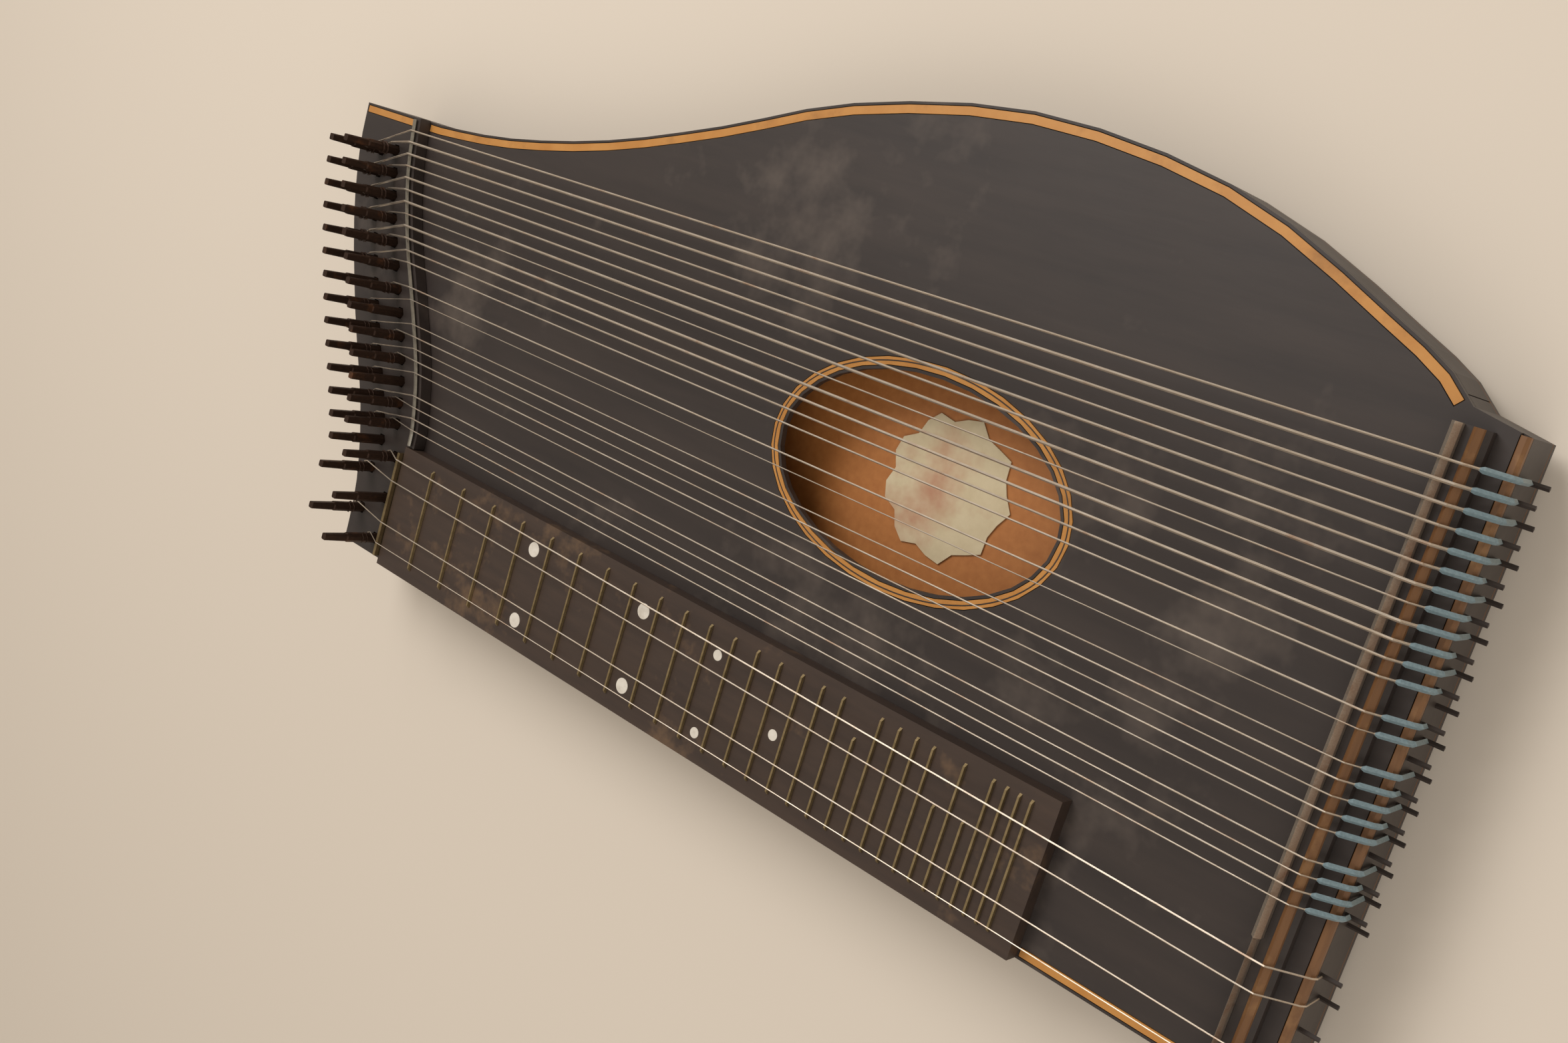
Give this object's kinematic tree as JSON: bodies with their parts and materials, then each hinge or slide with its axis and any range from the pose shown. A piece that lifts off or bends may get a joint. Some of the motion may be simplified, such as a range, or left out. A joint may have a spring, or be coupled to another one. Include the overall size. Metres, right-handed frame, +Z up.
{
  "type": "concert zither",
  "caption": "Concert zither with a fretted melody board, open accompaniment strings over a sound hole, and turning pins for tuning.",
  "frame": {"origin": "centre of the instrument's outline, on the floor under its feet", "axes": "+X along the strings from tuning pins to hitch pins, +Y from the player's edge to the swell, +Z up out of the soundboard"},
  "size_m": [0.552, 0.2636, 0.0655],
  "materials": {
    "black_wood": "worn black lacquer",
    "fretboard_wood": "worn dark hardwood with brass frets",
    "brown_wood": "worn brown hardwood",
    "pine": "bare softwood",
    "purfling": "honey maple lines with a dark line between",
    "brass": "dull old brass",
    "pin_steel": "rusty steel",
    "strings": "steel and wound strings",
    "nut_rod": "drawn metal rod",
    "paper": "aged printed paper"
  },
  "bodies": {
    "body": {"accompaniment_nut_bar": "black_wood", "accompaniment_nut_rod": "nut_rod", "accompaniment_strings": "strings", "back_board": "black_wood", "back_brace_1": "pine", "back_brace_2": "pine", "back_brace_3": "pine", "bridge_base": "black_wood", "bridge_rear_ridge": "brown_wood", "end_rail": "brown_wood", "fretboard": "fretboard_wood", "hitch_block": "black_wood", "melody_nut": "brass", "melody_strings": "strings", "near_purfling": "purfling", "paper_cutout": "paper", "pin_block": "black_wood", "player_side_lining": "pine", "player_side_rib": "black_wood", "soundboard": "black_wood", "soundboard_brace_1": "pine", "soundboard_brace_2": "pine", "soundboard_brace_3": "pine", "soundhole_purfling": "purfling", "swell_purfling": "purfling", "swell_side_lining": "pine", "swell_side_rib": "black_wood", "tail_purfling": "purfling"},
    "pin_01": {"tuning_pin_01": "pin_steel"},
    "pin_02": {"tuning_pin_02": "pin_steel"},
    "pin_03": {"tuning_pin_03": "pin_steel"},
    "pin_04": {"tuning_pin_04": "pin_steel"},
    "pin_05": {"tuning_pin_05": "pin_steel"},
    "pin_06": {"tuning_pin_06": "pin_steel"},
    "pin_07": {"tuning_pin_07": "pin_steel"},
    "pin_08": {"tuning_pin_08": "pin_steel"},
    "pin_09": {"tuning_pin_09": "pin_steel"},
    "pin_10": {"tuning_pin_10": "pin_steel"},
    "pin_11": {"tuning_pin_11": "pin_steel"},
    "pin_12": {"tuning_pin_12": "pin_steel"},
    "pin_13": {"tuning_pin_13": "pin_steel"},
    "pin_14": {"tuning_pin_14": "pin_steel"},
    "pin_15": {"tuning_pin_15": "pin_steel"},
    "pin_16": {"tuning_pin_16": "pin_steel"},
    "pin_17": {"tuning_pin_17": "pin_steel"},
    "pin_18": {"tuning_pin_18": "pin_steel"},
    "pin_19": {"tuning_pin_19": "pin_steel"},
    "pin_20": {"tuning_pin_20": "pin_steel"},
    "pin_21": {"tuning_pin_21": "pin_steel"},
    "pin_22": {"tuning_pin_22": "pin_steel"},
    "pin_23": {"tuning_pin_23": "pin_steel"},
    "pin_24": {"tuning_pin_24": "pin_steel"},
    "pin_25": {"tuning_pin_25": "pin_steel"},
    "pin_26": {"tuning_pin_26": "pin_steel"},
    "pin_27": {"tuning_pin_27": "pin_steel"},
    "pin_28": {"tuning_pin_28": "pin_steel"},
    "pin_29": {"tuning_pin_29": "pin_steel"},
    "pin_30": {"tuning_pin_30": "pin_steel"},
    "pin_31": {"tuning_pin_31": "pin_steel"},
    "pin_32": {"tuning_pin_32": "pin_steel"}
  },
  "joints": [
    {"name": "pin_turn_01", "type": "hinge", "parent": "body", "child": "pin_01", "pos_m": [-0.1917, -0.12395, 0.0375], "axis": [0, 0, 1], "range_deg": [-360, 60]},
    {"name": "pin_turn_02", "type": "hinge", "parent": "body", "child": "pin_02", "pos_m": [-0.2067, -0.11385, 0.0375], "axis": [0, 0, 1], "range_deg": [-360, 60]},
    {"name": "pin_turn_03", "type": "hinge", "parent": "body", "child": "pin_03", "pos_m": [-0.1917, -0.10375, 0.0375], "axis": [0, 0, 1], "range_deg": [-360, 60]},
    {"name": "pin_turn_04", "type": "hinge", "parent": "body", "child": "pin_04", "pos_m": [-0.2067, -0.09365, 0.0375], "axis": [0, 0, 1], "range_deg": [-360, 60]},
    {"name": "pin_turn_05", "type": "hinge", "parent": "body", "child": "pin_05", "pos_m": [-0.1917, -0.08355, 0.0375], "axis": [0, 0, 1], "range_deg": [-360, 60]},
    {"name": "pin_turn_06", "type": "hinge", "parent": "body", "child": "pin_06", "pos_m": [-0.20454, -0.07925, 0.0375], "axis": [0, 0, 1], "range_deg": [-360, 60]},
    {"name": "pin_turn_07", "type": "hinge", "parent": "body", "child": "pin_07", "pos_m": [-0.19612, -0.06883, 0.0375], "axis": [0, 0, 1], "range_deg": [-360, 60]},
    {"name": "pin_turn_08", "type": "hinge", "parent": "body", "child": "pin_08", "pos_m": [-0.20832, -0.06972, 0.0375], "axis": [0, 0, 1], "range_deg": [-360, 60]},
    {"name": "pin_turn_09", "type": "hinge", "parent": "body", "child": "pin_09", "pos_m": [-0.19799, -0.05916, 0.0375], "axis": [0, 0, 1], "range_deg": [-360, 60]},
    {"name": "pin_turn_10", "type": "hinge", "parent": "body", "child": "pin_10", "pos_m": [-0.21297, -0.06014, 0.0375], "axis": [0, 0, 1], "range_deg": [-360, 60]},
    {"name": "pin_turn_11", "type": "hinge", "parent": "body", "child": "pin_11", "pos_m": [-0.20075, -0.04944, 0.0375], "axis": [0, 0, 1], "range_deg": [-360, 60]},
    {"name": "pin_turn_12", "type": "hinge", "parent": "body", "child": "pin_12", "pos_m": [-0.21806, -0.0505, 0.0375], "axis": [0, 0, 1], "range_deg": [-360, 60]},
    {"name": "pin_turn_13", "type": "hinge", "parent": "body", "child": "pin_13", "pos_m": [-0.20423, -0.03966, 0.0375], "axis": [0, 0, 1], "range_deg": [-360, 60]},
    {"name": "pin_turn_14", "type": "hinge", "parent": "body", "child": "pin_14", "pos_m": [-0.22338, -0.04081, 0.0375], "axis": [0, 0, 1], "range_deg": [-360, 60]},
    {"name": "pin_turn_15", "type": "hinge", "parent": "body", "child": "pin_15", "pos_m": [-0.20881, -0.02982, 0.0375], "axis": [0, 0, 1], "range_deg": [-360, 60]},
    {"name": "pin_turn_16", "type": "hinge", "parent": "body", "child": "pin_16", "pos_m": [-0.22849, -0.03106, 0.0375], "axis": [0, 0, 1], "range_deg": [-360, 60]},
    {"name": "pin_turn_17", "type": "hinge", "parent": "body", "child": "pin_17", "pos_m": [-0.21409, -0.01993, 0.0375], "axis": [0, 0, 1], "range_deg": [-360, 60]},
    {"name": "pin_turn_18", "type": "hinge", "parent": "body", "child": "pin_18", "pos_m": [-0.23324, -0.02126, 0.0375], "axis": [0, 0, 1], "range_deg": [-360, 60]},
    {"name": "pin_turn_19", "type": "hinge", "parent": "body", "child": "pin_19", "pos_m": [-0.21955, -0.00999, 0.0375], "axis": [0, 0, 1], "range_deg": [-360, 60]},
    {"name": "pin_turn_20", "type": "hinge", "parent": "body", "child": "pin_20", "pos_m": [-0.23781, -0.01141, 0.0375], "axis": [0, 0, 1], "range_deg": [-360, 60]},
    {"name": "pin_turn_21", "type": "hinge", "parent": "body", "child": "pin_21", "pos_m": [-0.22524, 0.00001, 0.0375], "axis": [0, 0, 1], "range_deg": [-360, 60]},
    {"name": "pin_turn_22", "type": "hinge", "parent": "body", "child": "pin_22", "pos_m": [-0.24224, -0.0015, 0.0375], "axis": [0, 0, 1], "range_deg": [-360, 60]},
    {"name": "pin_turn_23", "type": "hinge", "parent": "body", "child": "pin_23", "pos_m": [-0.23084, 0.01006, 0.0375], "axis": [0, 0, 1], "range_deg": [-360, 60]},
    {"name": "pin_turn_24", "type": "hinge", "parent": "body", "child": "pin_24", "pos_m": [-0.24629, 0.00847, 0.0375], "axis": [0, 0, 1], "range_deg": [-360, 60]},
    {"name": "pin_turn_25", "type": "hinge", "parent": "body", "child": "pin_25", "pos_m": [-0.23574, 0.02017, 0.0375], "axis": [0, 0, 1], "range_deg": [-360, 60]},
    {"name": "pin_turn_26", "type": "hinge", "parent": "body", "child": "pin_26", "pos_m": [-0.24991, 0.01849, 0.0375], "axis": [0, 0, 1], "range_deg": [-360, 60]},
    {"name": "pin_turn_27", "type": "hinge", "parent": "body", "child": "pin_27", "pos_m": [-0.23999, 0.03033, 0.0375], "axis": [0, 0, 1], "range_deg": [-360, 60]},
    {"name": "pin_turn_28", "type": "hinge", "parent": "body", "child": "pin_28", "pos_m": [-0.25295, 0.02856, 0.0375], "axis": [0, 0, 1], "range_deg": [-360, 60]},
    {"name": "pin_turn_29", "type": "hinge", "parent": "body", "child": "pin_29", "pos_m": [-0.24361, 0.04054, 0.0375], "axis": [0, 0, 1], "range_deg": [-360, 60]},
    {"name": "pin_turn_30", "type": "hinge", "parent": "body", "child": "pin_30", "pos_m": [-0.25537, 0.03868, 0.0375], "axis": [0, 0, 1], "range_deg": [-360, 60]},
    {"name": "pin_turn_31", "type": "hinge", "parent": "body", "child": "pin_31", "pos_m": [-0.24626, 0.05081, 0.0375], "axis": [0, 0, 1], "range_deg": [-360, 60]},
    {"name": "pin_turn_32", "type": "hinge", "parent": "body", "child": "pin_32", "pos_m": [-0.25715, 0.04887, 0.0375], "axis": [0, 0, 1], "range_deg": [-360, 60]}
  ]
}
